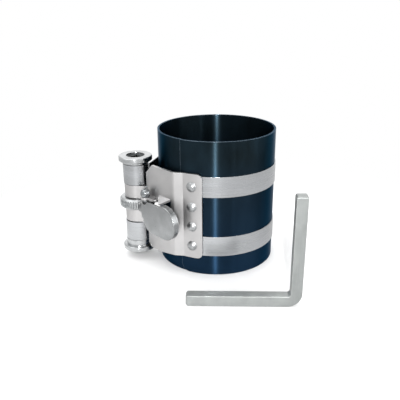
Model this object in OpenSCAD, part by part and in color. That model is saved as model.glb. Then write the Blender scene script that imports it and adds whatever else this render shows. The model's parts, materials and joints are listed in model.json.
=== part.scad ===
// Ratchet piston ring compressor: a wound spring-steel sleeve, two tightening bands,
// a riveted bracket with a ratchet spool and release pawl, and the square key that turns it.
// Origin on the sleeve's bore axis at its lower rim. +Z is up and -Y faces the bracket plate.

/* [Sleeve] */
// Height of the sleeve strip
sleeve_height = 80; // [66:1:110]
// Outer radius of the wound sleeve
sleeve_radius = 35.5; // [31:0.5:40]
// Thickness of the sleeve strip
sleeve_thickness = 0.5; // [0.3:0.05:0.8]
// Gap between two laps of the sleeve
lap_gap = 0.1; // [0.05:0.05:0.3]
// Half turns that the strip is wound to
sleeve_half_turns = 4; // [4:2:6]
// Angle from the plate's middle to the outer free end, towards +X
seam_turn = 11; // [9:0.5:11.5]
// Radius of the rounded corners at the outer free end
sleeve_corner = 5; // [2:0.5:8]

/* [Bands] */
// Width of each tightening band
band_width = 12; // [8:0.5:13]
// Thickness of each band
band_thickness = 0.5; // [0.3:0.05:0.6]
// Distance between the two bands' middle lines
band_pitch = 36; // [34:0.5:38]
// Height of the middle plane between the bands
middle_height = 36.3; // [33:0.1:42]
// Gap between a band and the sleeve or the bracket flange
band_gap = 0.05; // [0.02:0.01:0.1]
// Gap between a strap's end and its wound turns
strap_gap = 0.3; // [0.2:0.05:0.5]
// Gap between wound turns on the spool
coil_gap = 0.05; // [0.03:0.01:0.08]
// Half turns of band wound on the spool
coil_half_turns = 8; // [4:2:8]
// Length of the hooked band end inside the spool's slot
hook_depth = 1.3; // [0.8:0.1:1.5]

/* [Bracket] */
// Thickness of the bracket sheet
bracket_sheet = 1.4; // [1:0.1:1.6]
// Height of the bracket plate
bracket_height = 51; // [48:0.5:54]
// Distance from the sleeve's outside to the plate's outer face
plate_stand = 4.5; // [4.1:0.1:4.9]
// Reach of the plate from its middle towards the spool
plate_reach = 18.4; // [17.5:0.1:18.8]
// Reach of the plate from its middle to the joggle bend
joggle_start = 5.7; // [4.5:0.1:6.5]
// Size of the plate's upper cut corner beside the spool
plate_chamfer = 5.5; // [3:0.5:7]
// Size of the plate's lower cut corner beside the spool
foot_chamfer = 2.4; // [1:0.1:5]
// Drop of the plate's foot below the rivet flange's foot
plate_drop = 2.2; // [0:0.1:2.4]
// Inside radius of the bracket's bends
bracket_bend = 1.2; // [0.6:0.1:1.6]
// Angle from the plate's middle to the rivet flange's near edge
flange_start = 15.7; // [14:0.1:17]
// Angle from the plate's middle to the rivet flange's far edge
flange_end = 33; // [31:0.5:40]
// Radius of the flange's rounded corners
flange_corner = 3; // [1:0.5:4]
// Width of each knuckle along the spool
knuckle_width = 7.8; // [7:0.1:8]
// Gap from a knuckle to the ratchet wheel and to the wound band
knuckle_gap = 0.5; // [0.3:0.1:0.9]
// Width of the pawl window right of the plate's middle
window_right = 3.5; // [0:0.25:4]

/* [Rivets] */
// Angle from the plate's middle to the rivet row
rivet_turn = 23.7; // [22:0.1:25.5]
// Radius of a rivet's shank
rivet_shank = 1.5; // [1:0.1:2]
// Radius of a rivet's domed head
rivet_head = 3; // [2.4:0.1:3.4]
// Height of a rivet's domed head
rivet_rise = 1.5; // [1:0.1:2]
// Fit gap around pressed pins, rivets, collars and the wheel
press_gap = 0.02; // [0.01:0.01:0.03]

/* [Spool] */
// Distance from the plate's middle to the spool axis
spool_side = 28.4; // [28:0.1:29]
// Distance from the plate's outer face back to the spool axis
spool_set_back = 0.2; // [0:0.1:0.6]
// Radius of the journals that turn in the knuckles
journal_radius = 6; // [5.8:0.1:6.2]
// Radius of the core that the bands are wound on
core_radius = 5.5; // [5.3:0.1:5.7]
// Running gap of the journals and the pawl's pin
running_gap = 0.05; // [0.02:0.01:0.1]
// Radius of the drive head and the end collar
collar_radius = 10; // [9:0.25:11]
// Thickness of the drive head's and the end collar's rim
collar_rim = 3.1; // [2:0.1:4]
// Height of the drive head's hub between rim and wound band
collar_hub = 1.3; // [0.8:0.1:3]
// Height of the end collar's hub between rim and wound band
foot_hub = 3.9; // [0.8:0.1:6]
// Radius of the collars' hubs
hub_radius = 7.9; // [7:0.1:8.4]
// Gap from a collar's hub to the wound band
hub_gap = 0.3; // [0.2:0.05:0.6]
// Edge break of the collars
collar_edge = 0.5; // [0.2:0.1:0.8]
// Depth of the spool's end below the drive head's face
end_recess = 0.6; // [0.2:0.1:1]
// Side of the square drive socket
socket_side = 6.2; // [5:0.1:6.4]
// Depth of the drive socket
socket_depth = 14; // [8:0.5:16]
// Depth of the socket's countersunk mouth
socket_mouth = 0.9; // [0.3:0.1:1]

/* [Ratchet] */
// Radius over the ratchet teeth
wheel_radius = 10.9; // [10.5:0.1:11.1]
// Number of ratchet teeth
wheel_teeth = 40; // [30:1:44]
// Depth of the ratchet teeth
tooth_depth = 0.75; // [0.5:0.05:0.8]
// Angle taken up by a tooth's steep face
steep_angle = 0.7; // [0.3:0.1:1]
// Bevel on the wheel's upper and lower edges
wheel_bevel = 1.4; // [0.5:0.1:1.8]

/* [Pawl] */
// Distance from the plate's middle to the pawl pin
pin_side = 14.6; // [14.3:0.1:14.8]
// Distance from the plate's outer face forward to the pawl pin
pin_stand = 4; // [3.8:0.1:4.3]
// Radius of the pawl pin
pin_radius = 1.25; // [1:0.05:1.3]
// Radius of the pawl pin's ball head
pin_head = 3; // [2.2:0.05:3.2]
// Rise of the ball's centre above the upper ear
pin_rise = 2; // [1.5:0.1:2.1]
// Outer radius of the pawl's barrel
barrel_radius = 2.4; // [2.2:0.05:2.5]
// Thickness of the pawl sheet
pawl_sheet = 1.2; // [1:0.1:1.3]
// Outer radius of the pawl's bulge over its pin
bulge_radius = 7.5; // [7.4:0.1:8]
// Radius of the round thumb pad
pad_radius = 10; // [8:0.25:11]
// Reach of the thumb pad's centre right of the plate's middle
pad_side = 5; // [3:0.25:6]
// Drop of the thumb pad's centre below the middle plane
pad_drop = 3.3; // [2.5:0.1:5]
// Depth of the skirt drawn round the thumb pad's free side
pad_skirt = 3.5; // [2:0.1:3.6]
// Rise of the pad's shoulder above the top of the pawl's barrel
pad_shoulder = 2.3; // [1:0.1:2.4]
// Gap between the pawl's nose and the ratchet teeth
nose_gap = 0.15; // [0.1:0.05:0.3]
// Half width of the pawl's nose
nose_half = 2.3; // [1.5:0.1:2.6]
// Distance from the middle plane to the top of the pawl's barrel
barrel_top = 3.6; // [3:0.1:3.8]
// Distance from the middle plane to the foot of the pawl's barrel
barrel_foot = 6.2; // [5:0.1:6.5]
// Gap between the pawl and the ears that hold its pin
ear_gap = 0.3; // [0.2:0.05:0.5]
// Wall of the lower ear around the pin
ear_wall = 0.7; // [0.6:0.05:0.8]
// Offset of the bulge's centre from the pin
bulge_offset = 1.4; // [1.2:0.1:1.6]
// Wire radius of the pawl spring
wire_radius = 0.35; // [0.25:0.05:0.4]
// Turns of the pawl spring
spring_turns = 1; // [1:1:2]
// Rise of the pawl spring in each turn
spring_pitch = 0.85; // [0.8:0.05:0.9]
// Radius of the ear's lobe that holds the spring's fixed leg
lobe_radius = 1.8; // [1.4:0.1:2]
// Reach of the lobe's centre in front of the plate
lobe_reach = 2.6; // [2.2:0.1:3]
// Height of the window tab's root above the middle plane
tab_rise = 8.9; // [8.4:0.1:9.2]
// Length of the tab that is bent out of the window over the pawl
tab_length = 5.4; // [4:0.1:5.5]
// Slope of the window tab
tab_slope = 34; // [28:1:40]
// Height of the retaining ring under the lower ear
clip_height = 0.7; // [0.5:0.1:1]

/* [Key] */
// Side of the square key bar
key_side = 6; // [4:0.1:6]
// Overall length of the key's long arm
key_long = 61; // [40:1:80]
// Overall height of the key's upright arm
key_upright = 62; // [40:1:90]
// Inside radius of the key's bend
key_bend = 1.5; // [0.5:0.5:6]
// Edge break at the key's two ends
key_edge = 0.7; // [0.3:0.1:1.5]
// Place of the key's upright arm beside the sleeve
key_place = [77, -17.5]; // [-120:0.5:120]
// Turn of the key about its upright arm
key_turn = 45; // [0:5:90]

/* [Hidden] */
$fn = 96;
// Small overlap that carries a cut past the face it starts from
past = 1;
steel = "Silver";
blued = "#1c2733";
plated = "Gainsboro";
// Front of the part as an angle counted from +X
front = 270;
// Chords of each bend in a sheet's outline
arc_steps = 16;
// Angle of the flange that its bend takes up
flange_lead = 1.2;

function polar(radius, angle) = [radius * cos(angle), radius * sin(angle)];
function turned(point, angle) = [
    point.x * cos(angle) - point.y * sin(angle),
    point.x * sin(angle) + point.y * cos(angle)
];
function angle_of(point) = atan2(point.y, point.x);
// Points on an arc from one angle to another, both ends included
function arc(centre, radius, from, to) = [
    for (step = [0 : arc_steps])
        centre + polar(radius, from + (to - from) * step / arc_steps)
];

// Points that round a corner of an outline
function fillet(before, corner, after, radius) =
    let (u = unit(before - corner), v = unit(after - corner))
    let (half = acos(u * v) / 2)
    let (centre = corner + unit(u + v) * radius / sin(half))
    let (from = angle_of(corner + u * radius / tan(half) - centre))
    let (turn = angle_of(corner + v * radius / tan(half) - centre) - from)
    arc(centre, radius, from, from + turn - 360 * round(turn / 360));

// Spiral sleeve: half turns about two centres in turn, the inner end's about the origin
seam_angle = front + seam_turn;
lap_pitch = sleeve_thickness + lap_gap;
outer_centre = polar(lap_pitch / 2, seam_angle);
bore_radius = sleeve_radius - sleeve_thickness - (sleeve_half_turns - 1) * lap_pitch / 2;
lap_inside = sleeve_radius - sleeve_thickness;

// Plate, spool and pawl pin stand off the sleeve's outside
plate_face = sleeve_radius + plate_stand;
spool_front = plate_face - spool_set_back;
pin_front = plate_face + pin_stand;

// Bands: along the sleeve, then straight across to the spool's wound turns
band_inside = sleeve_radius + band_gap;
coil_pitch = band_thickness + coil_gap;
coil_radius = core_radius + coil_gap + band_thickness + (coil_half_turns - 1) * coil_pitch / 2;
spool = [-spool_side, -spool_front];
spool_arm = spool - outer_centre;
leave_reach = band_inside + band_thickness + strap_gap + coil_radius;
leave_angle = 360 + angle_of(spool_arm) - acos(leave_reach / norm(spool_arm));
strap_length = sqrt(norm(spool_arm) * norm(spool_arm) - leave_reach * leave_reach);
coil_angle = leave_angle - 180;
band_start = flange_start + 1;
band_sweep = front + band_start - leave_angle - 360;
upper_band_foot = middle_height + band_pitch / 2 - band_width / 2;
lower_band_foot = middle_height - band_pitch / 2 - band_width / 2;

// Bracket
flange_inside = band_inside + band_thickness + band_gap;
flange_outside = flange_inside + bracket_sheet;
bracket_foot = middle_height - bracket_height / 2;
plate_back = plate_face - bracket_sheet;
plate_middle = plate_face - bracket_sheet / 2;
knuckle_radius = journal_radius + running_gap + bracket_sheet;
knuckle_outer = band_pitch / 2 - band_width / 2 - knuckle_gap;
knuckle_inner = knuckle_outer - knuckle_width;
wheel_width = 2 * (knuckle_inner - knuckle_gap);
journal_half = knuckle_outer + knuckle_gap / 2;
web_sink = bracket_sheet / 8;
web_start = [-plate_reach + bracket_sheet, web_sink - plate_face];
web_arm = web_start - spool;
web_radius = knuckle_radius - web_sink;
web_angle = angle_of(web_arm) - acos(web_radius / norm(web_arm));
web_end = spool + polar(web_radius, web_angle);
web_inward = polar(bracket_sheet, web_angle + 180);

// Rivets
rivet_angle = front + rivet_turn;

// Spool ends
hub_start = band_pitch / 2 + band_width / 2 + hub_gap;
head_end = hub_start + collar_hub + collar_rim;
foot_end = hub_start + foot_hub + collar_rim;

// Pawl: pin, ears, sheet bends and nose
pin = [-pin_side, -pin_front];
ear_radius = pin_radius + ear_wall;
upper_ear_radius = pin_head - ear_gap / 2;
spring_clear = ear_gap / 2;
spring_foot = middle_height + barrel_top + spring_clear + wire_radius;
spring_head = spring_foot + spring_turns * spring_pitch;
upper_ear_foot = spring_head + wire_radius + spring_clear;
lower_ear_top = middle_height - barrel_foot - ear_gap;
lower_ear_foot = lower_ear_top - bracket_sheet;
bulge_drop = bulge_radius - pawl_sheet - ear_radius - ear_gap;
bulge_centre = pin + [bulge_offset, sqrt(bulge_drop * bulge_drop - bulge_offset * bulge_offset)];
pad_outside = bulge_radius - bulge_centre.y;
// Angle where the bulge ends on the spool's side
bulge_end = -125;
pad_centre = [pad_side, middle_height - pad_drop];
// Lower corner of the slanted side between bulge and pad
heel = [-2 * pad_radius + pad_radius, pad_centre.y - 0.8 * pad_radius];
// Nose: its bearing from the spool, its flanks' angles and lengths, and where they meet the bulge
nose_angle = -36;
nose_flanks = [50, 14];
nose_lengths = [2.6, 1.6];
nose_join = [-100, -110];
nose_tip = spool + polar(wheel_radius + nose_gap, nose_angle);
nose_arm = nose_tip - pin;
nose_lever = nose_arm.x * sin(nose_angle) - nose_arm.y * cos(nose_angle);
root_gap = 2 * running_gap;
nose_drop = asin((nose_gap + tooth_depth - root_gap) / nose_lever);
dropped_tip = pin + turned(nose_arm, -nose_drop) - spool;
// Angle from a tooth's steep face to the seated nose
face_gap = 2.4;
wheel_phase = angle_of(dropped_tip) - face_gap;
tooth_pitch = 360 / wheel_teeth;

// Upper ear's lobe and the torsion spring between them
lobe = [-pin_side / 2, -(plate_face + lobe_reach)];
lobe_hole = 2 * wire_radius;
tab_left = lobe.x + lobe_radius / 3;
spring_radius = pin_radius + spring_clear + wire_radius;
// Sides of the wire, and the share of its run along Z that counts as upright
wire_sides = 8;
upright_share = 0.9;
steps_per_turn = 14;
coil_steps = steps_per_turn * spring_turns + steps_per_turn / 2;
free_leg = [lobe.x - lobe_radius, pin.y - spring_radius + wire_radius, spring_foot];
free_leg_length = 3;
leg_bend = 3 * wire_radius;

// A strip wound inwards from its outer end: half turns about two centres in turn
module wound_strip(radius, half_turns, thickness, gap, width, end_angle, winding) {
    pitch = thickness + gap;
    rotate([0, 0, end_angle])
        for (half = [0 : half_turns - 1]) {
            even = half % 2 == 0;
            translate([even ? pitch / 2 : 0, 0, 0])
                rotate_extrude(angle = (even ? 180 : -180) * winding, $fn = 180)
                translate([radius - thickness - half * pitch / 2, 0])
                square([thickness, width]);
        }
}

// Frame on the outer lap's centre: +X points out of the sleeve at the given angle
module facing(angle) {
    translate(outer_centre)
        rotate([0, 0, angle])
        children();
}

// Round pin or hole pointing out of the sleeve between two distances
module spoke(angle, level, radius, from, to) {
    facing(angle)
        translate([from, 0, level])
        rotate([0, 90, 0])
        cylinder(r = radius, h = to - from, $fn = 48);
}

// What a rounded corner removes: seen along the spoke, a square less a quarter disc
module corner_waste(angle, level, radius, side, up, from, to) {
    facing(angle)
        translate([from, 0, level])
        rotate([90, 0, 90])
        linear_extrude(to - from)
        scale([side, up])
        difference() {
            translate([-past, -past])
                square(radius + past);
            translate([radius, radius])
                circle(radius, $fn = 48);
        }
}

module rivet_row(radius, from, to) {
    for (step = [-1.5 : 1 : 1.5])
        spoke(rivet_angle, middle_height + step * band_pitch / 3, radius, from, to);
}

module compression_sleeve() {
    color(blued)
        difference() {
            wound_strip(sleeve_radius, sleeve_half_turns, sleeve_thickness, lap_gap,
                        sleeve_height, seam_angle, 1);
            difference() {
                union() {
                    rivet_row(rivet_shank + press_gap, lap_inside - past, sleeve_radius + past);
                    corner_waste(seam_angle, 0, sleeve_corner, 1, 1,
                                 lap_inside - past, sleeve_radius + past);
                    translate([0, 0, sleeve_height])
                        corner_waste(seam_angle, 0, sleeve_corner, 1, -1,
                                     lap_inside - past, sleeve_radius + past);
                }
                translate([outer_centre.x, outer_centre.y, -past])
                    cylinder(r = lap_inside - lap_gap / 2, h = sleeve_height + 2 * past, $fn = 180);
            }
        }
}

// One tightening band from under the bracket flange round the sleeve to the spool
module band(foot) {
    color(steel)
        difference() {
            facing(leave_angle)
                translate([0, 0, foot]) {
                    rotate_extrude(angle = band_sweep, $fn = 180)
                        translate([band_inside, 0])
                        square([band_thickness, band_width]);
                    translate([band_inside, 0, 0])
                        cube([band_thickness, strap_length, band_width]);
                }
            spoke(rivet_angle, foot + band_width / 2, rivet_shank + press_gap,
                  lap_inside, flange_outside);
        }
}

module upper_band() {
    band(upper_band_foot);
}

module lower_band() {
    band(lower_band_foot);
}

// The turns of one band on the spool, with the end hooked into the spool's slot
module band_coil(foot) {
    color(steel)
        translate([spool.x, spool.y, foot]) {
            wound_strip(coil_radius, coil_half_turns, band_thickness, coil_gap,
                        band_width, coil_angle, -1);
            rotate([0, 0, coil_angle])
                translate([core_radius - hook_depth, 0, 0])
                cube([hook_depth + coil_gap + band_thickness, band_thickness, band_width]);
        }
}

module upper_band_coil() {
    band_coil(upper_band_foot);
}

module lower_band_coil() {
    band_coil(lower_band_foot);
}

// Bracket sheet seen from above: plate, joggle and curved rivet flange
module bracket_bends() {
    face_bend = [joggle_start, -plate_face];
    back_bend = [joggle_start - bracket_sheet / 2, -plate_back];
    face_flange = outer_centre + polar(flange_outside, front + flange_start);
    back_flange = outer_centre + polar(flange_inside, front + flange_start);
    along_flange = polar(1, flange_start);
    arc_start = front + flange_start + flange_lead;
    outer_bend = bracket_bend + bracket_sheet;
    polygon(concat(
        [[-plate_reach - past, -plate_back], [-plate_reach - past, -plate_face]],
        fillet(face_bend - [1, 0], face_bend, face_flange, outer_bend),
        fillet(face_bend, face_flange, face_flange + along_flange, bracket_bend),
        arc(outer_centre, flange_outside, arc_start, front + flange_end),
        arc(outer_centre, flange_inside, front + flange_end, arc_start),
        fillet(back_flange + along_flange, back_flange, back_bend, outer_bend),
        fillet(back_flange, back_bend, back_bend - [1, 0], bracket_bend)
    ));
}

// Bracket sheet seen from the front: cut corners on the spool's side and the pawl's window
module bracket_outline() {
    top = bracket_foot + bracket_height;
    window_top = upper_ear_foot - ear_gap;
    window_foot = lower_ear_top + ear_gap;
    window_left = -pin_side + ear_radius;
    plate_foot = bracket_foot - plate_drop;
    tab_top = middle_height + tab_rise - bracket_sheet / 2;
    wheel_notch = knuckle_inner - knuckle_gap / 2;
    difference() {
        polygon([
            [flange_outside, bracket_foot],
            [flange_outside, top],
            [-plate_reach + plate_chamfer, top],
            [-plate_reach, top - plate_chamfer],
            [-plate_reach, plate_foot + foot_chamfer],
            [-plate_reach + foot_chamfer, plate_foot],
            [-pin_side / 2, plate_foot],
            [joggle_start, bracket_foot]
        ]);
        polygon([
            [-plate_reach - past, middle_height - wheel_notch],
            [window_left, middle_height - wheel_notch],
            [window_left, window_foot],
            [window_right, window_foot],
            [window_right, tab_top],
            [tab_left, tab_top],
            [tab_left, window_top],
            [window_left, window_top],
            [window_left, middle_height + wheel_notch],
            [-plate_reach - past, middle_height + wheel_notch]
        ]);
    }
}

// Rolled knuckle around a journal, with the web that joins it to the plate
module knuckle(foot) {
    translate([0, 0, foot])
        linear_extrude(knuckle_width)
        difference() {
            union() {
                translate(spool)
                    circle(knuckle_radius);
                polygon([web_start, web_end, web_end + web_inward, web_start + web_inward]);
            }
            translate(spool)
                circle(journal_radius + running_gap);
        }
}

// Ear bent forward from the plate to hold the pawl's pin
module ear(foot, radius) {
    translate([0, 0, foot])
        linear_extrude(bracket_sheet)
        difference() {
            union() {
                translate(pin)
                    circle(radius, $fn = 48);
                translate([pin.x - radius, -pin_front])
                    square([2 * radius, pin_front - plate_middle]);
                children();
            }
            translate(pin)
                circle(pin_radius + press_gap, $fn = 48);
        }
}

// Lobe of the upper ear with the hole that holds the spring's fixed leg
module spring_lobe() {
    difference() {
        union() {
            translate(lobe)
                circle(lobe_radius, $fn = 48);
            translate([pin.x, lobe.y - lobe_radius])
                square([lobe.x - pin.x, lobe_radius - lobe.y - plate_middle]);
            translate([pin.x, lobe.y])
                square([lobe.x - pin.x + lobe_radius, -lobe.y - plate_middle]);
        }
        translate(lobe)
            circle(lobe_hole, $fn = 48);
    }
}

// Tab bent out of the window: a sloping three-cornered sheet with a blunt tip
module window_tab() {
    tab_right = window_right - bracket_sheet / 2;
    tab_tip = (tab_left + tab_right) / 2;
    tip_half = bracket_sheet / 2;
    translate([0, -plate_face, middle_height + tab_rise])
        rotate([tab_slope, 0, 0])
        translate([0, 0, -bracket_sheet])
        linear_extrude(bracket_sheet)
        polygon([
            [tab_left + running_gap, bracket_sheet / 2],
            [tab_right, bracket_sheet / 2],
            [tab_right, -tip_half],
            [tab_tip + tip_half, -tab_length],
            [tab_tip - tip_half, -tab_length],
            [tab_left + running_gap, -tip_half]
        ]);
}

module ratchet_bracket() {
    color(plated)
        difference() {
            union() {
                intersection() {
                    linear_extrude(sleeve_height)
                        bracket_bends();
                    rotate([90, 0, 0])
                        linear_extrude(plate_face + past)
                        bracket_outline();
                }
                for (side = [-1, 1])
                    knuckle(middle_height + side * (knuckle_inner + knuckle_width / 2)
                            - knuckle_width / 2);
                ear(upper_ear_foot, upper_ear_radius)
                    spring_lobe();
                ear(lower_ear_foot, ear_radius);
                window_tab();
            }
            rivet_row(rivet_shank + press_gap, lap_inside, flange_outside + past);
            for (up = [1, -1])
                corner_waste(front + flange_end, middle_height - up * bracket_height / 2,
                             flange_corner, -1, up, lap_inside, flange_outside + past);
        }
}

// Domed rivet: shank flush with the inside of the sleeve's outer lap
module rivet(level) {
    dome = (rivet_head * rivet_head + rivet_rise * rivet_rise) / (2 * rivet_rise);
    shank_end = lap_inside + press_gap;
    color(plated) {
        spoke(rivet_angle, level, rivet_shank, shank_end, flange_outside + rivet_rise / 2);
        facing(rivet_angle)
            translate([flange_outside, 0, level])
            rotate([0, 90, 0])
            rotate_extrude($fn = 48)
            intersection() {
                translate([0, rivet_rise - dome])
                    circle(dome, $fn = 96);
                square([rivet_head, rivet_rise]);
            }
    }
}

module upper_band_rivet() {
    rivet(middle_height + band_pitch / 2);
}

module upper_sleeve_rivet() {
    rivet(middle_height + band_pitch / 6);
}

module lower_sleeve_rivet() {
    rivet(middle_height - band_pitch / 6);
}

module lower_band_rivet() {
    rivet(middle_height - band_pitch / 2);
}

// Stepped spool with the square drive socket and a slot for each band's hooked end
module spool_shaft() {
    top = middle_height + head_end - end_recess;
    foot = middle_height - foot_end + end_recess;
    slot_gap = 2 * coil_gap;
    mouth_radius = core_radius - collar_edge;
    color(plated)
        translate([spool.x, spool.y, 0])
        difference() {
            union() {
                translate([0, 0, foot])
                    cylinder(r = core_radius, h = top - foot);
                translate([0, 0, middle_height - journal_half])
                    cylinder(r = journal_radius, h = 2 * journal_half);
            }
            translate([-socket_side / 2, -socket_side / 2, top - socket_depth])
                cube([socket_side, socket_side, socket_depth + past]);
            translate([0, 0, top - socket_mouth])
                cylinder(r1 = mouth_radius - socket_mouth, r2 = mouth_radius, h = socket_mouth);
            for (slot_foot = [upper_band_foot, lower_band_foot])
                rotate([0, 0, coil_angle])
                    translate([core_radius - hook_depth - slot_gap, -slot_gap, slot_foot - slot_gap])
                    cube([hook_depth + past, band_thickness + 2 * slot_gap, band_width + 2 * slot_gap]);
        }
}

// Rim and hub pressed on one end of the spool, drawn upwards from the hub's foot
module collar(hub) {
    rotate_extrude()
        polygon([
            [core_radius + press_gap, 0],
            [hub_radius, 0],
            [hub_radius, hub],
            [collar_radius - collar_edge, hub],
            [collar_radius, hub + collar_edge],
            [collar_radius, hub + collar_rim - collar_edge],
            [collar_radius - collar_edge, hub + collar_rim],
            [core_radius + press_gap, hub + collar_rim]
        ]);
}

module drive_head() {
    color(plated)
        translate([spool.x, spool.y, middle_height + hub_start])
        collar(collar_hub);
}

module end_collar() {
    color(plated)
        translate([spool.x, spool.y, middle_height - hub_start])
        mirror([0, 0, 1])
        collar(foot_hub);
}

// Saw teeth: each drops steeply on its anticlockwise side and blocks unwinding
module ratchet_wheel() {
    root = wheel_radius - tooth_depth;
    half = wheel_width / 2;
    color(plated)
        translate([spool.x, spool.y, middle_height])
        difference() {
            intersection() {
                translate([0, 0, -half])
                    linear_extrude(wheel_width)
                    polygon([
                        for (tooth = [0 : wheel_teeth - 1], edge = [0, 1])
                            polar(edge == 0 ? wheel_radius : root,
                                  wheel_phase + tooth * tooth_pitch + edge * steep_angle)
                    ]);
                rotate_extrude()
                    polygon([
                        [0, -half],
                        [wheel_radius - wheel_bevel, -half],
                        [wheel_radius + past, wheel_bevel + past - half],
                        [wheel_radius + past, half - wheel_bevel - past],
                        [wheel_radius - wheel_bevel, half],
                        [0, half]
                    ]);
            }
            translate([0, 0, -half - past])
                cylinder(r = journal_radius + press_gap, h = wheel_width + 2 * past);
        }
}

// Pawl sheet seen from above: bulge over the pin running into the flat thumb pad
module pawl_bends() {
    pad_end = pad_side + pad_radius + past;
    polygon(concat(
        arc(bulge_centre, bulge_radius, bulge_end, -90),
        [[pad_end, -pad_outside], [pad_end, pawl_sheet - pad_outside]],
        arc(bulge_centre, bulge_radius - pawl_sheet, -90, bulge_end)
    ));
}

// Pawl sheet seen from the front: slanted spool side running into the round pad
module pawl_outline() {
    top = middle_height + barrel_top;
    far = bulge_centre.x - bulge_radius;
    foot = pad_centre.y - pad_radius;
    shoulder = pin.x + pad_radius / 2;
    translate(pad_centre)
        circle(pad_radius);
    polygon([
        [far, top],
        [pin.x - bulge_radius / 2, top],
        [heel.x, heel.y],
        [heel.x / 2, foot],
        [pad_centre.x, foot],
        [pad_centre.x, top + pad_shoulder],
        [shoulder + pad_shoulder / 2, top + pad_shoulder],
        [shoulder - pad_shoulder / 2, top]
    ]);
}

// Nose that drops between the teeth, seen from above
module nose_shape() {
    sheet_middle = bulge_radius - pawl_sheet / 2;
    polygon([
        nose_tip,
        nose_tip + polar(nose_lengths[0], nose_angle + nose_flanks[0]),
        bulge_centre + polar(sheet_middle, nose_join[0]),
        bulge_centre + polar(bulge_radius, nose_join[1]),
        nose_tip + polar(nose_lengths[1], nose_angle + nose_flanks[1])
    ]);
}

module pawl_lever() {
    barrel_length = barrel_top + barrel_foot;
    saddle = 0.7 * barrel_radius;
    skirt_reach = pad_radius / 4;
    color(plated) {
        difference() {
            union() {
                intersection() {
                    linear_extrude(sleeve_height)
                        pawl_bends();
                    rotate([90, 0, 0])
                        linear_extrude(plate_face + pin_front)
                        pawl_outline();
                }
                translate([0, 0, middle_height - barrel_foot])
                    linear_extrude(barrel_length) {
                        translate(pin)
                            circle(barrel_radius, $fn = 48);
                        translate(pin - [saddle, barrel_radius])
                            square([2 * saddle, barrel_radius]);
                    }
                translate([0, 0, middle_height - nose_half])
                    linear_extrude(2 * nose_half)
                    nose_shape();
            }
            translate([pin.x, pin.y, 0])
                cylinder(r = pin_radius + running_gap, h = sleeve_height, $fn = 48);
        }
        translate([pad_centre.x, pad_skirt - pad_outside, pad_centre.y])
            rotate([90, 0, 0])
            linear_extrude(pad_skirt - pawl_sheet / 2)
            intersection() {
                difference() {
                    circle(pad_radius);
                    circle(pad_radius - pawl_sheet);
                }
                translate([-skirt_reach, -pad_radius])
                    square([2 * pad_radius, 2 * pad_radius]);
            }
    }
}

// Pivot pin pressed into both ears, with a ball head on the upper ear
module pawl_pin() {
    head_foot = upper_ear_foot + bracket_sheet;
    pin_foot = lower_ear_foot - clip_height - ear_gap;
    color(plated)
        translate([pin.x, pin.y, 0]) {
            translate([0, 0, pin_foot])
                cylinder(r = pin_radius, h = head_foot + pin_rise / 2 - pin_foot, $fn = 48);
            translate([0, 0, head_foot])
                rotate_extrude($fn = 64)
                intersection() {
                    translate([0, pin_rise])
                        circle(pin_head, $fn = 96);
                    square([pin_head + past, pin_rise + pin_head + past]);
                }
        }
}

// Retaining ring pressed on the pin under the lower ear
module pin_clip() {
    color(steel)
        translate([pin.x, pin.y, lower_ear_foot - clip_height - band_gap])
        difference() {
            cylinder(r = ear_radius, h = clip_height, $fn = 48);
            translate([0, 0, -past])
                cylinder(r = pin_radius + press_gap, h = clip_height + 2 * past, $fn = 48);
        }
}

// Torsion spring round the pin: free leg behind the pad, coil, fixed leg up through the ear's lobe
spring_path = concat(
    [free_leg, free_leg - [free_leg_length, 0, 0]],
    [
        for (step = [0 : coil_steps])
            let (angle = front - step * 360 / steps_per_turn)
            let (spot = pin + polar(spring_radius, angle))
            [spot.x, spot.y, spring_foot + (spring_head - spring_foot) * step / coil_steps]
    ],
    [
        [lobe.x - leg_bend, lobe.y + wire_radius, spring_head],
        [lobe.x, lobe.y, spring_head + wire_radius],
        [lobe.x, lobe.y, upper_ear_foot + leg_bend],
        [lobe.x, lobe.y, upper_ear_foot + bracket_sheet + 2 * wire_radius]
    ]
);

function unit(vector) = vector / norm(vector);
function along(path, spot) =
    unit(path[min(spot + 1, len(path) - 1)] - path[max(spot - 1, 0)]);

// Round wire swept along a list of points
module wire(path, radius) {
    rings = [
        for (spot = [0 : len(path) - 1])
            let (ahead = along(path, spot))
            let (across = unit(cross(ahead, abs(ahead.z) > upright_share ? [0, 1, 0] : [0, 0, 1])))
            let (over = cross(across, ahead))
            for (side = [0 : wire_sides - 1])
                path[spot] + radius * (cos(side * 360 / wire_sides) * across
                                       + sin(side * 360 / wire_sides) * over)
    ];
    walls = [
        for (spot = [0 : len(path) - 2], side = [0 : wire_sides - 1])
            let (next = (side + 1) % wire_sides)
            [spot * wire_sides + side, spot * wire_sides + next,
             (spot + 1) * wire_sides + next, (spot + 1) * wire_sides + side]
    ];
    first_cap = [for (side = [wire_sides - 1 : -1 : 0]) side];
    last_cap = [for (side = [0 : wire_sides - 1]) (len(path) - 1) * wire_sides + side];
    polyhedron(rings, concat([first_cap], walls, [last_cap]));
}

module pawl_spring() {
    color(steel)
        wire(spring_path, wire_radius);
}

// Square bar end with broken edges: one arm standing on its foot
module key_arm(length) {
    half = key_side / 2;
    profile = [
        [-half, 0], [half, 0], [half, length - key_edge], [half - key_edge, length],
        [key_edge - half, length], [-half, length - key_edge]
    ];
    intersection() {
        translate([0, half, 0])
            rotate([90, 0, 0])
            linear_extrude(key_side)
            polygon(profile);
        translate([-half, 0, 0])
            rotate([90, 0, 90])
            linear_extrude(key_side)
            polygon(profile);
    }
}

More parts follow.
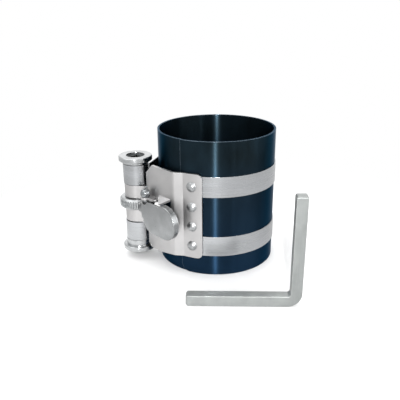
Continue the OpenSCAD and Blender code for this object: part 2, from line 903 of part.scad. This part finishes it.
// L-shaped square key standing on its long arm
module square_key() {
    half = key_side / 2;
    corner = key_bend + half;
    color("DarkGray")
        translate([key_place.x, key_place.y, half])
        rotate([0, 0, key_turn]) {
            translate([0, 0, corner])
                key_arm(key_upright - half - corner);
            translate([-corner, 0, 0])
                rotate([0, -90, 0])
                key_arm(key_long - half - corner);
            translate([-corner, 0, corner])
                rotate([90, 0, 0])
                rotate([0, 0, -90])
                translate([0, 0, -half])
                rotate_extrude(angle = 90)
                translate([key_bend, 0])
                square(key_side);
        }
}

compression_sleeve();
upper_band();
lower_band();
upper_band_coil();
lower_band_coil();
ratchet_bracket();
upper_band_rivet();
lower_band_rivet();
upper_sleeve_rivet();
lower_sleeve_rivet();
spool_shaft();
drive_head();
end_collar();
ratchet_wheel();
pawl_lever();
pawl_pin();
pin_clip();
pawl_spring();
square_key();
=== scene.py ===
# Ratchet piston ring compressor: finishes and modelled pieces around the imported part
import json
import math

import bpy
from mathutils import Matrix, Vector


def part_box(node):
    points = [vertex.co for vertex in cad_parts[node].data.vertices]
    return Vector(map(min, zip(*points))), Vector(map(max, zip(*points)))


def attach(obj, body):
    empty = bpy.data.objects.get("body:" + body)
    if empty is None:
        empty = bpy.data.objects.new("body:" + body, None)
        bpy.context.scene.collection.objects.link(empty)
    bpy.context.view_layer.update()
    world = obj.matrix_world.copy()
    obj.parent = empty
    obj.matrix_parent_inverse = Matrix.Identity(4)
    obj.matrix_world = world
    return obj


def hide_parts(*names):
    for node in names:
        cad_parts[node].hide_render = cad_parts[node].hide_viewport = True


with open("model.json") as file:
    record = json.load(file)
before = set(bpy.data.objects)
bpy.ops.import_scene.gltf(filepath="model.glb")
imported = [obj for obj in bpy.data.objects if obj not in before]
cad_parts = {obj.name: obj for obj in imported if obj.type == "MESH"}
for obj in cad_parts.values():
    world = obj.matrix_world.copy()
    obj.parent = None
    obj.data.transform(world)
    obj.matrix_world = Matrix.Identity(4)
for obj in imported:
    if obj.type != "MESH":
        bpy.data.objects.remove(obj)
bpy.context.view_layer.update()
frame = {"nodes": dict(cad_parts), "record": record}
nodes = frame["nodes"]
scene = bpy.context.scene
mm = 0.001
print("frame loaded:", len(nodes), "nodes")


# Camera, at the photo's viewing angle
cameraSetup = {
    "place": (217.85, -217.85, 152.81),  # mm
    "aim": (-6.94, -7.41, 33.16),  # mm
    "roll": -0.494,  # degrees
    "lens": 47.3,
}


def addCamera(setup):
    place = Vector(setup["place"]) * mm
    look = (Vector(setup["aim"]) * mm - place).to_track_quat("-Z", "Y").to_matrix()
    roll = Matrix.Rotation(math.radians(setup["roll"]), 3, "Z")
    bpy.ops.object.camera_add(location=place, rotation=(look @ roll).to_euler())
    camera = bpy.context.object
    camera.name = "photoCamera"
    camera.data.lens = setup["lens"]
    scene.camera = camera


addCamera(cameraSetup)
print("camera placed")


# Materials: what all the steel finishes share
steelPattern = {
    "detail": 3,
    "noiseSpan": (0.3, 0.7),  # noise values that a look's two ends are spread over
    "bumpDepth": 0.05,  # mm
    "wearSamples": 6,
    "wearBend": (0.99, 0.86),  # cosine of the edge's bend, where wear starts and where it is full
    "wearSpan": (0.3, 0.6),  # noise values over which wear goes from patchy to full
    "wearLeast": 0.4,
    "ringShare": 0.35,  # of facing rings among a turned piece's lines
    "ringWobble": 0.6,
    "stretchTurn": 0.25,  # of a full turn, so that highlights stretch upright
}


def linear(hexColour):
    channels = [int(hexColour[i:i + 2], 16) / 255 for i in (1, 3, 5)]
    return tuple(c / 12.92 if c <= 0.04045 else ((c + 0.055) / 1.055) ** 2.4 for c in channels) + (1,)


# One node with its settings; a socket takes a value or another node's output
def addNode(tree, kind, settings=None, sockets=None):
    node = tree.nodes.new("ShaderNode" + kind)
    for key, value in (settings or {}).items():
        setattr(node, key, value)
    for key, value in (sockets or {}).items():
        if isinstance(value, bpy.types.NodeSocket):
            tree.links.new(value, node.inputs[key])
        else:
            node.inputs[key].default_value = value
    return node


# Noise whose spots have the given size in mm along X, Y and Z of the part
def grain(tree, size, turn=0):
    place = addNode(tree, "TexCoord").outputs["Object"]
    scale = [1 / (s * mm) for s in size]
    spin = addNode(tree, "Mapping", {"vector_type": "TEXTURE"},
                   {0: place, "Rotation": (0, 0, math.radians(turn))})
    stretch = addNode(tree, "Mapping", {}, {0: spin.outputs[0], "Scale": scale})
    noise = addNode(tree, "TexNoise", {},
                    {"Vector": stretch.outputs[0], "Scale": 1, "Detail": steelPattern["detail"]})
    return noise.outputs["Fac"]


# 1 on edges that hands and work rub bright, 0 on the open faces, broken up by the clouds
def edgeWear(tree, width, clouds):
    rounded = addNode(tree, "Bevel", {"samples": steelPattern["wearSamples"]}, {"Radius": width * mm})
    flat = addNode(tree, "NewGeometry").outputs["Normal"]
    bend = addNode(tree, "VectorMath", {"operation": "DOT_PRODUCT"}, {0: rounded.outputs[0], 1: flat})
    start, full = steelPattern["wearBend"]
    edge = addNode(tree, "MapRange", {}, {0: bend.outputs["Value"], 1: start, 2: full})
    thin, thick = steelPattern["wearSpan"]
    patch = addNode(tree, "MapRange", {},
                    {0: clouds, 1: thin, 2: thick, 3: steelPattern["wearLeast"], 4: 1})
    wear = addNode(tree, "Math", {"operation": "MULTIPLY"}, {0: edge.outputs[0], 1: patch.outputs[0]})
    return wear.outputs[0]


# Lines that the making left: a bent bar has them along both its arms, a turned piece has rings too
def toolLines(tree, look):
    lines = grain(tree, look["lines"])
    place = addNode(tree, "TexCoord").outputs["Object"]
    if "armLines" in look:
        turn = math.radians(look["armTurn"])
        armAxis = (math.cos(turn), math.sin(turn), 0)
        along = addNode(tree, "VectorMath", {"operation": "DOT_PRODUCT"}, {0: place, 1: armAxis})
        upright = addNode(tree, "Math", {"operation": "GREATER_THAN"},
                          {0: along.outputs["Value"], 1: look["armEnd"] * mm})
        armLines = grain(tree, look["armLines"], look["armTurn"])
        lines = addNode(tree, "Mix", {}, {0: upright.outputs[0], 2: armLines, 3: lines}).outputs[0]
    if "ringPitch" in look:
        centre = [-c * mm for c in look["ringAxis"]]
        about = addNode(tree, "Mapping", {}, {0: place, "Location": centre})
        waveScale = math.pi / (10 * look["ringPitch"] * mm)  # the node counts 20 radians to a unit
        rings = addNode(tree, "TexWave", {"wave_type": "RINGS", "rings_direction": "Z"},
                        {0: about.outputs[0], "Scale": waveScale, "Distortion": steelPattern["ringWobble"]})
        lines = addNode(tree, "Mix", {},
                        {0: steelPattern["ringShare"], 2: lines, 3: rings.outputs["Fac"]}).outputs[0]
    return lines


# Clouded colour between a look's two greys, with its foot colour and its worn edges
def steelColour(tree, look):
    clouds = grain(tree, look["clouds"])
    start, end = steelPattern["noiseSpan"]
    shade = addNode(tree, "MapRange", {}, {0: clouds, 1: start, 2: end})
    steel = addNode(tree, "Mix", {"data_type": "RGBA"},
                    {0: shade.outputs[0], 6: linear(look["dark"]), 7: linear(look["light"])})
    if "foot" in look:
        height = addNode(tree, "SeparateXYZ", {}, {0: addNode(tree, "TexCoord").outputs["Object"]})
        top, bottom = look["footSpan"]
        low = addNode(tree, "MapRange", {}, {0: height.outputs["Z"], 1: top * mm, 2: bottom * mm})
        steel = addNode(tree, "Mix", {"data_type": "RGBA"},
                        {0: low.outputs[0], 6: steel.outputs[2], 7: linear(look["foot"])})
    wear = edgeWear(tree, look["edgeWidth"], clouds)
    worn = addNode(tree, "Mix", {"data_type": "RGBA"},
                   {0: wear, 6: steel.outputs[2], 7: linear(look["worn"])})
    return worn.outputs[2]


def steelFinish(name, look):
    material = bpy.data.materials.new(name)
    material.use_nodes = True
    tree = material.node_tree
    shader = tree.nodes["Principled BSDF"]
    lines = toolLines(tree, look)
    start, end = steelPattern["noiseSpan"]
    smooth, coarse = look["roughness"]
    rough = addNode(tree, "MapRange", {}, {0: lines, 1: start, 2: end, 3: smooth, 4: coarse})
    bump = addNode(tree, "Bump", {}, {"Strength": look["bump"], "Height": lines,
                                      "Distance": steelPattern["bumpDepth"] * mm})
    tree.links.new(steelColour(tree, look), shader.inputs["Base Color"])
    tree.links.new(rough.outputs[0], shader.inputs["Roughness"])
    tree.links.new(bump.outputs[0], shader.inputs["Normal"])
    shader.inputs["Metallic"].default_value = 1
    if "anisotropic" in look:
        shader.inputs["Anisotropic"].default_value = look["anisotropic"]
        shader.inputs["Anisotropic Rotation"].default_value = steelPattern["stretchTurn"]
        around = addNode(tree, "Tangent", {"direction_type": "RADIAL", "axis": "Z"})
        tree.links.new(around.outputs[0], shader.inputs["Tangent"])
    if "glancing" in look:
        shader.inputs["Specular Tint"].default_value = linear(look["glancing"])
    return material


# Every length in the looks is in mm

# Blued spring steel, cold rolled: near black, bluer at the foot, rolling lines run round the sleeve
bluedLook = {
    "dark": "#161e22",
    "light": "#1f2c34",
    "foot": "#182b3e",
    "footSpan": (70, 5),  # heights between which the foot's blue comes in
    "glancing": "#b4c2d0",
    "worn": "#8593a0",
    "edgeWidth": 0.3,
    "clouds": (14, 14, 30),
    "lines": (30, 30, 0.35),  # real rolling lines are finer
    "roughness": (0.285, 0.3),
    "bump": 0.03,
    "anisotropic": 1,
}
bluedSteel = steelFinish("bluedSpringSteel", bluedLook)

# Bright rolled strip: pale satin grey with faint lines along the band
bandLook = {
    "dark": "#adafb1",
    "light": "#b6b8bb",
    "worn": "#d4d6d9",
    "edgeWidth": 0.25,
    "clouds": (30, 30, 4),
    "lines": (20, 20, 0.4),  # real rolling lines are finer
    "roughness": (0.22, 0.29),
    "bump": 0.08,
    "anisotropic": 0.2,
}
bandSteel = steelFinish("rolledBandSteel", bandLook)

# Nickel-plated pressed sheet: soft silver satin with a fine even grain
platedLook = {
    "dark": "#b3b2b2",
    "light": "#bebdbd",
    "worn": "#e2e2e2",
    "edgeWidth": 0.4,
    "clouds": (12, 12, 12),
    "lines": (0.4, 0.4, 0.4),  # real grain is finer
    "roughness": (0.38, 0.45),
    "bump": 0.03,
}
platedSheet = steelFinish("nickelPlatedSheet", platedLook)

# Hardened pressed sheet of the pawl: greyer than the bracket and smoother, polished by the thumb
pawlLook = {
    "dark": "#8a8c8d",
    "light": "#989a9b",
    "worn": "#e6e7e7",
    "edgeWidth": 0.5,
    "clouds": (5, 5, 5),
    "lines": (0.8, 0.8, 0.8),
    "roughness": (0.2, 0.28),
    "bump": 0.04,
}
pawlSteel = steelFinish("hardenedPawlSheet", pawlLook)

# Nickel rivet heads: satin from the setting tool, with shallow dents
rivetLook = {
    "dark": "#959798",
    "light": "#aeb0b1",
    "worn": "#cccdce",
    "edgeWidth": 0.2,
    "clouds": (2, 2, 2),
    "lines": (1.6, 1.6, 1.6),
    "roughness": (0.3, 0.4),
    "bump": 0.08,
}
rivetSteel = steelFinish("setRivetHead", rivetLook)

# Polished ball head of the pin: dark mirror steel with one clear highlight
ballLook = {
    "dark": "#7e8284",
    "light": "#929597",
    "worn": "#b4b6b8",
    "edgeWidth": 0.2,
    "clouds": (3, 3, 3),
    "lines": (0.8, 0.8, 0.8),
    "roughness": (0.1, 0.16),
    "bump": 0.02,
}
ballSteel = steelFinish("polishedPinBall", ballLook)

# Turned and plated steel: fine tool lines round the spool's axis stretch every highlight upright
turnedLook = {
    "dark": "#a8aaab",
    "light": "#babcbd",
    "worn": "#e6e7e7",
    "edgeWidth": 0.4,
    "clouds": (5, 5, 4),
    "lines": (6, 6, 0.35),  # real tool lines are finer
    "roughness": (0.22, 0.32),
    "bump": 0.1,
    "anisotropic": 0.6,
    "ringPitch": 0.9,  # facing lines on the collars' ends, drawn coarser than real
    "ringAxis": (-28.4, -39.8, 0),
}
turnedSteel = steelFinish("turnedPlatedSteel", turnedLook)

# Plain shaft, seen only in its socket: unplated and oily, with its near-black colour painted shade for the
# inside of the socket
shaftSocketShadeLook = {
    "dark": "#383b3c",
    "light": "#4d5051",
    "worn": "#8d9091",
    "edgeWidth": 0.3,
    "clouds": (3, 3, 3),
    "lines": (4, 4, 0.4),
    "roughness": (0.3, 0.45),
    "bump": 0.1,
}
shaftSocketShadeSteel = steelFinish("oiledShaftSocketShade", shaftSocketShadeLook)

# Drawn spring wire: darker, a little oily
wireLook = {
    "dark": "#6f7173",
    "light": "#8b8d8f",
    "worn": "#a8aaac",
    "edgeWidth": 0.15,
    "clouds": (2, 2, 2),
    "lines": (0.3, 0.3, 0.3),
    "roughness": (0.28, 0.42),
    "bump": 0.1,
}
springWire = steelFinish("drawnSpringWire", wireLook)

# Drawn square bar, zinc plated: duller grey, drawing lines along the bar
keyLook = {
    "dark": "#939695",
    "light": "#a1a4a3",
    "worn": "#dadddb",
    "edgeWidth": 0.5,
    "clouds": (6, 6, 9),
    "lines": (0.5, 0.5, 25),  # on the upright arm
    "roughness": (0.5, 0.6),
    "bump": 0.15,
    "armLines": (25, 0.5, 0.5),  # on the lying arm, along the turned X
    "armTurn": 45,  # degrees
    "armEnd": 39,  # along the turned X, where the lying arm meets the upright one
}
keySteel = steelFinish("drawnKeyBar", keyLook)

finishOf = {
    "blued_steel": bluedSteel,
    "band_steel": bandSteel,
    "plated_sheet": platedSheet,
    "rivet_steel": rivetSteel,
    "turned_steel": turnedSteel,
    "spring_steel": springWire,
    "key_steel": keySteel,
}
ownFinish = {"pawl_lever": pawlSteel, "pawl_pin": ballSteel, "spool_shaft": shaftSocketShadeSteel}
slotOf = {row["node"]: row["material_slot"] for row in frame["record"]["subparts"]}
bodyOf = {}
for body, members in frame["record"]["behaviour"]["bodies"].items():
    for member in members:
        bodyOf[member] = body
print("materials made:", len(finishOf) + len(ownFinish))


# Softened copies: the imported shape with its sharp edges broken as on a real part
edgeBreaks = {  # mm
    "compression_sleeve": 0.12,
    "upper_band": 0.12,
    "lower_band": 0.12,
    "upper_band_coil": 0.1,
    "lower_band_coil": 0.1,
    "ratchet_bracket": 0.2,
    "spool_shaft": 0.15,
    "drive_head": 0.15,
    "end_collar": 0.15,
    "ratchet_wheel": 0,
    "pawl_lever": 0,
    "pin_clip": 0.1,
    "pawl_spring": 0,
    "square_key": 0.45,
}
softening = {
    "sharpAngle": 28,  # degrees, past which an edge is broken and shaded sharp
    "segments": 2,
    "flatWeight": 80,  # how far the large faces keep their normals
    "merge": 0.002,  # mm
    "flatAngle": 0.4,  # degrees, within which faces are one
    "rimAngle": 40,  # degrees, past which an edge counts as a rim
    "rimPlane": 0.02,  # mm, how near a rim lies to its plane
}


def clearSelection():
    if bpy.context.object and bpy.context.object.mode != "OBJECT":
        bpy.ops.object.mode_set(mode="OBJECT")
    bpy.ops.object.select_all(action="DESELECT")


def makeActive(piece):
    clearSelection()
    piece.select_set(True)
    bpy.context.view_layer.objects.active = piece


def addModifier(piece, kind, **settings):
    makeActive(piece)
    modifier = piece.modifiers.new(kind.title(), kind)
    for key, value in settings.items():
        setattr(modifier, key, value)
    bpy.ops.object.modifier_apply(modifier=modifier.name)


# Material, body, slot and stand-in in one place for every finished piece
def finishPiece(piece, node):
    piece.data.materials.clear()
    piece.data.materials.append(ownFinish.get(node, finishOf[slotOf[node]]))
    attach(piece, bodyOf[node])
    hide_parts(node)


def softenEdges(piece, width):
    sharpAngle = math.radians(softening["sharpAngle"])
    if width:
        addModifier(piece, "BEVEL", width=width * mm, segments=softening["segments"],
                    limit_method="ANGLE", angle_limit=sharpAngle, use_clamp_overlap=True)
    makeActive(piece)
    bpy.ops.object.shade_smooth_by_angle(angle=sharpAngle)
    addModifier(piece, "WEIGHTED_NORMAL", weight=softening["flatWeight"], keep_sharp=True)


# Rims rounded one by one: sharp edges from a least X on, on one plane of the part or anywhere
wheelFoot, wheelTop = [corner[2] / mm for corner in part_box("ratchet_wheel")]
rims = {  # mm
    "pawl_lever": [
        {"axis": "y", "place": -47.7, "fromX": -8, "radius": 0.7, "segments": 4, "clamp": False},
        {"axis": "", "fromX": -50, "radius": 0.12, "segments": 2, "clamp": True},
    ],
    "ratchet_wheel": [
        {"axis": "z", "place": height, "fromX": -50, "radius": 0.1, "segments": 2, "clamp": True}
        for height in (wheelFoot, wheelTop)
    ],
}


def onRim(spots, rim):
    if min(spot.x for spot in spots) <= rim["fromX"]:
        return False
    if not rim["axis"]:
        return True
    return all(abs(getattr(spot, rim["axis"]) - rim["place"]) < softening["rimPlane"] for spot in spots)


def roundRim(piece, rim):
    makeActive(piece)
    bpy.ops.object.mode_set(mode="EDIT")
    bpy.ops.mesh.select_mode(type="EDGE")
    bpy.ops.mesh.select_all(action="DESELECT")
    bpy.ops.mesh.edges_select_sharp(sharpness=math.radians(softening["rimAngle"]))
    bpy.ops.object.mode_set(mode="OBJECT")
    chosen = []
    for edge in piece.data.edges:
        spots = [piece.data.vertices[corner].co / mm for corner in edge.vertices]
        if edge.select and onRim(spots, rim):
            chosen.append(edge.index)
    bpy.ops.object.mode_set(mode="EDIT")
    bpy.ops.mesh.select_all(action="DESELECT")  # or edit mode would bring the other edges back
    bpy.ops.object.mode_set(mode="OBJECT")
    for index in chosen:
        piece.data.edges[index].select = True
    bpy.ops.object.mode_set(mode="EDIT")
    bpy.ops.mesh.bevel(offset=rim["radius"] * mm, segments=rim["segments"], affect="EDGES",
                       clamp_overlap=rim["clamp"])
    bpy.ops.object.mode_set(mode="OBJECT")


def softenedCopy(node, width):
    piece = bpy.data.objects.new(node + "_soft", nodes[node].data.copy())
    scene.collection.objects.link(piece)
    makeActive(piece)
    bpy.ops.mesh.customdata_custom_splitnormals_clear()
    bpy.ops.object.mode_set(mode="EDIT")
    bpy.ops.mesh.select_all(action="SELECT")
    bpy.ops.mesh.remove_doubles(threshold=softening["merge"] * mm)
    if width or node in rims:
        bpy.ops.mesh.dissolve_limited(angle_limit=math.radians(softening["flatAngle"]))
    bpy.ops.object.mode_set(mode="OBJECT")
    for rim in rims.get(node, []):
        roundRim(piece, rim)
    softenEdges(piece, width)
    finishPiece(piece, node)


for node, width in edgeBreaks.items():
    softenedCopy(node, width)
bpy.data.objects["square_key_soft"].visible_glossy = False  # keeps the loose key out of mirrored rays
print("softened copies made:", len(edgeBreaks))


# Round pieces grow from a disc, ring by ring: each ring is a radius and a height in mm
def raiseRings(name, rings, shape):
    clearSelection()
    radius, height = rings[0]
    bpy.ops.mesh.primitive_circle_add(vertices=shape["sides"], radius=radius * mm, fill_type="NGON")
    piece = bpy.context.object
    piece.name = name
    bpy.ops.object.mode_set(mode="EDIT")
    bpy.ops.mesh.select_all(action="SELECT")
    bpy.ops.transform.translate(value=(0, 0, height * mm))
    for nextRadius, nextHeight in rings[1:]:
        lift = (0, 0, (nextHeight - height) * mm)
        share = nextRadius / radius
        bpy.ops.mesh.extrude_region_move(TRANSFORM_OT_translate={"value": lift})
        bpy.ops.transform.resize(value=(share, share, 1), center_override=(0, 0, 0))
        radius, height = nextRadius, nextHeight
    bpy.ops.mesh.select_all(action="SELECT")
    bpy.ops.mesh.normals_make_consistent(inside=False)
    bpy.ops.object.mode_set(mode="OBJECT")
    bpy.ops.object.shade_smooth_by_angle(angle=math.radians(shape["smoothAngle"]))
    return piece


# A shank with a broken edge at its foot
def shankRings(radius, foot, top, edge):
    return [(radius - edge, foot), (radius, foot + edge), (radius, top)]


# Rings over a ball from one angle to another, both in degrees from its top
def ballRings(radius, middle, start, end, steps):
    angles = [math.radians(start + (end - start) * i / steps) for i in range(steps + 1)]
    return [(radius * math.sin(a), middle + radius * math.cos(a)) for a in angles]


def placePiece(piece, place, turn=(0, 0, 0)):
    piece.location = Vector(place) * mm
    piece.rotation_euler = turn
    makeActive(piece)
    bpy.ops.object.transform_apply(location=True, rotation=True, scale=True)


# Rivets: one domed head with a small rolled lip and its shank, copied to the four places
rivetShape = {  # mm and degrees
    "centre": (0.057, -0.2945),  # middle of the sleeve's outer lap
    "angle": -66.3,
    "flange": 37.5,  # from that middle to the flange's face
    "levels": {
        "upper_band_rivet": 54.3,
        "upper_sleeve_rivet": 42.3,
        "lower_sleeve_rivet": 30.3,
        "lower_band_rivet": 18.3,
    },
    "shank": 1.5,
    "shankEnd": -2.48,
    "edge": 0.15,
    "lip": [(2.8, 0), (2.95, 0.05), (2.98, 0.14)],
    "dome": 3.75,
    "rise": 1.5,
    "domeSpan": (49.5, 3),  # from the lip to the small flat on top
    "domeSteps": 9,
    "sides": 48,
    "smoothAngle": 40,
}


def makeRivets(shape):
    stem = shankRings(shape["shank"], shape["shankEnd"], 0, shape["edge"])
    dome = ballRings(shape["dome"], shape["rise"] - shape["dome"], *shape["domeSpan"], shape["domeSteps"])
    first = raiseRings("rivetPattern", stem + shape["lip"] + dome, shape)
    angle = math.radians(shape["angle"])
    outward = Vector((math.cos(angle), math.sin(angle), 0))
    foot = Vector(shape["centre"] + (0,)) + outward * shape["flange"]
    for node, level in shape["levels"].items():
        rivet = bpy.data.objects.new(node + "_domed", first.data.copy())
        scene.collection.objects.link(rivet)
        placePiece(rivet, foot + Vector((0, 0, level)), outward.to_track_quat("Z", "Y").to_euler())
        finishPiece(rivet, node)
    bpy.data.objects.remove(first)
    print("rivets made:", len(shape["levels"]))


makeRivets(rivetShape)

# Pivot pin with its ball head
pinShape = {  # mm and degrees
    "place": (-14.6, -44, 0),
    "shank": 1.25,
    "foot": 27.4,
    "edge": 0.2,
    "headFoot": 43.15,
    "ball": 3,
    "ballMiddle": 45.15,
    "ballEnd": 3,  # small flat on top
    "ballSteps": 20,
    "sides": 48,
    "smoothAngle": 40,
}


def makePin(shape):
    stem = shankRings(shape["shank"], shape["foot"], shape["headFoot"], shape["edge"])
    ballStart = math.degrees(math.acos((shape["headFoot"] - shape["ballMiddle"]) / shape["ball"]))
    ball = ballRings(shape["ball"], shape["ballMiddle"], ballStart, shape["ballEnd"], shape["ballSteps"])
    pin = raiseRings("pawl_pin_ball", stem + ball, shape)
    placePiece(pin, shape["place"])
    finishPiece(pin, "pawl_pin")
    print("pin made")


makePin(pinShape)


# Floor: grey enough to hold the shadow, and plain white further out for the camera and the steel; for all
# other rays its grey carries a painted patch of light that darkens away from the part
floorSetup = {
    "size": 6,  # m
    "height": -0.2,  # mm
    "fade": (0.1, 0.2),  # m from the part, where it turns white for the camera
    "farFade": (0.22, 0.4),  # the same for mirrored rays
    "paintedPool": (0, -0.055, 0),  # m, middle of the patch of light painted into the floor's grey
    "paintedPoolEdge": (0.05, 0.12),  # m from that middle, where the painted light falls off
    "seen": 0.92,  # grey for the camera
    "paintedLit": 0.92,  # greys for all other rays: painted light in the patch, painted shade beyond it
    "paintedDim": 0.5,
    "roughness": 0.9,
}


def addFloor(setup):
    clearSelection()
    bpy.ops.mesh.primitive_plane_add(size=setup["size"], location=(0, 0, setup["height"] * mm))
    floor = bpy.context.object
    floor.name = "paleFloor"
    material = bpy.data.materials.new("paleFloor")
    material.use_nodes = True
    tree = material.node_tree
    shader = tree.nodes["Principled BSDF"]
    place = addNode(tree, "TexCoord").outputs["Object"]
    path = addNode(tree, "LightPath").outputs
    # painted light and shade: for all but camera rays the floor's grey falls off with distance from the
    # patch's middle
    spread = addNode(tree, "VectorMath", {"operation": "DISTANCE"}, {0: place, 1: setup["paintedPool"]})
    near, far = setup["paintedPoolEdge"]
    paintedPool = addNode(tree, "MapRange", {},
                   {0: spread.outputs["Value"], 1: near, 2: far, 3: setup["paintedLit"], 4: setup["paintedDim"]})
    grey = addNode(tree, "Mix", {}, {0: path["Is Camera Ray"], 2: paintedPool.outputs[0], 3: setup["seen"]})
    tree.links.new(grey.outputs[0], shader.inputs["Base Color"])
    shader.inputs["Roughness"].default_value = setup["roughness"]
    reach = addNode(tree, "VectorMath", {"operation": "LENGTH"}, {0: place}).outputs["Value"]
    fadeOf = {
        "Is Camera Ray": setup["fade"],
        "Is Glossy Ray": setup["farFade"],
        "Is Transmission Ray": setup["farFade"],
    }
    whiteness = 0
    for ray, (start, end) in fadeOf.items():
        fade = addNode(tree, "MapRange", {}, {0: reach, 1: start, 2: end})
        seen = addNode(tree, "Math", {"operation": "MULTIPLY"}, {0: fade.outputs[0], 1: path[ray]})
        most = addNode(tree, "Math", {"operation": "MAXIMUM"}, {0: whiteness, 1: seen.outputs[0]})
        whiteness = most.outputs[0]
    white = addNode(tree, "Emission", {}, {"Strength": 1})
    mix = addNode(tree, "MixShader", {}, {0: whiteness, 1: shader.outputs[0], 2: white.outputs[0]})
    tree.links.new(mix.outputs[0], tree.nodes["Material Output"].inputs["Surface"])
    floor.data.materials.append(material)


addFloor(floorSetup)
print("floor laid")

# Lamps: a wide soft one above, strips and cards for the long highlights on the steel
lampSetup = {
    "aim": (0, 0, 0.04),  # m
    "lamps": [
        # name, place in m, size in m, power in W
        ("softbox", (-0.35, -0.35, 1.15), (1.1, 1.1), 5),
        ("strip", (0.625, -0.647, 0.32), (0.02, 0.54), 7.1),
        ("sideStrip", (0.88, -0.17, 0.4), (0.06, 0.5), 0.6),
        ("rightCard", (0.8, 0.25, 0.4), (0.7, 0.7), 2.8),
        ("backCard", (-0.35, 0.45, 1.0), (0.6, 0.6), 2.8),
        ("tailCard", (-0.68, 0.64, 0.42), (0.9, 0.5), 0.55),
    ],
}


def addLamps(setup):
    for name, place, size, power in setup["lamps"]:
        bpy.ops.object.light_add(type="AREA", location=place)
        lamp = bpy.context.object
        lamp.name = name
        lamp.data.shape = "RECTANGLE"
        lamp.data.size, lamp.data.size_y = size
        lamp.data.energy = power
        lamp.visible_camera = False
        view = Vector(setup["aim"]) - Vector(place)
        lamp.rotation_euler = view.to_track_quat("-Z", "Y").to_euler()


addLamps(lampSetup)
print("lamps placed:", len(lampSetup["lamps"]))

# World: plain light from all round, seen as white by the camera and in the steel
skyLevel = 0.8


def addSky(level):
    world = bpy.data.worlds.new("studio")
    world.use_nodes = True
    tree = world.node_tree
    path = addNode(tree, "LightPath").outputs
    for ray in ("Is Camera Ray", "Is Glossy Ray", "Is Transmission Ray"):
        level = addNode(tree, "Math", {"operation": "MAXIMUM"}, {0: path[ray], 1: level}).outputs[0]
    tree.links.new(level, tree.nodes["Background"].inputs["Color"])
    scene.world = world


addSky(skyLevel)
scene.view_settings.view_transform = "Standard"
print("sky set")
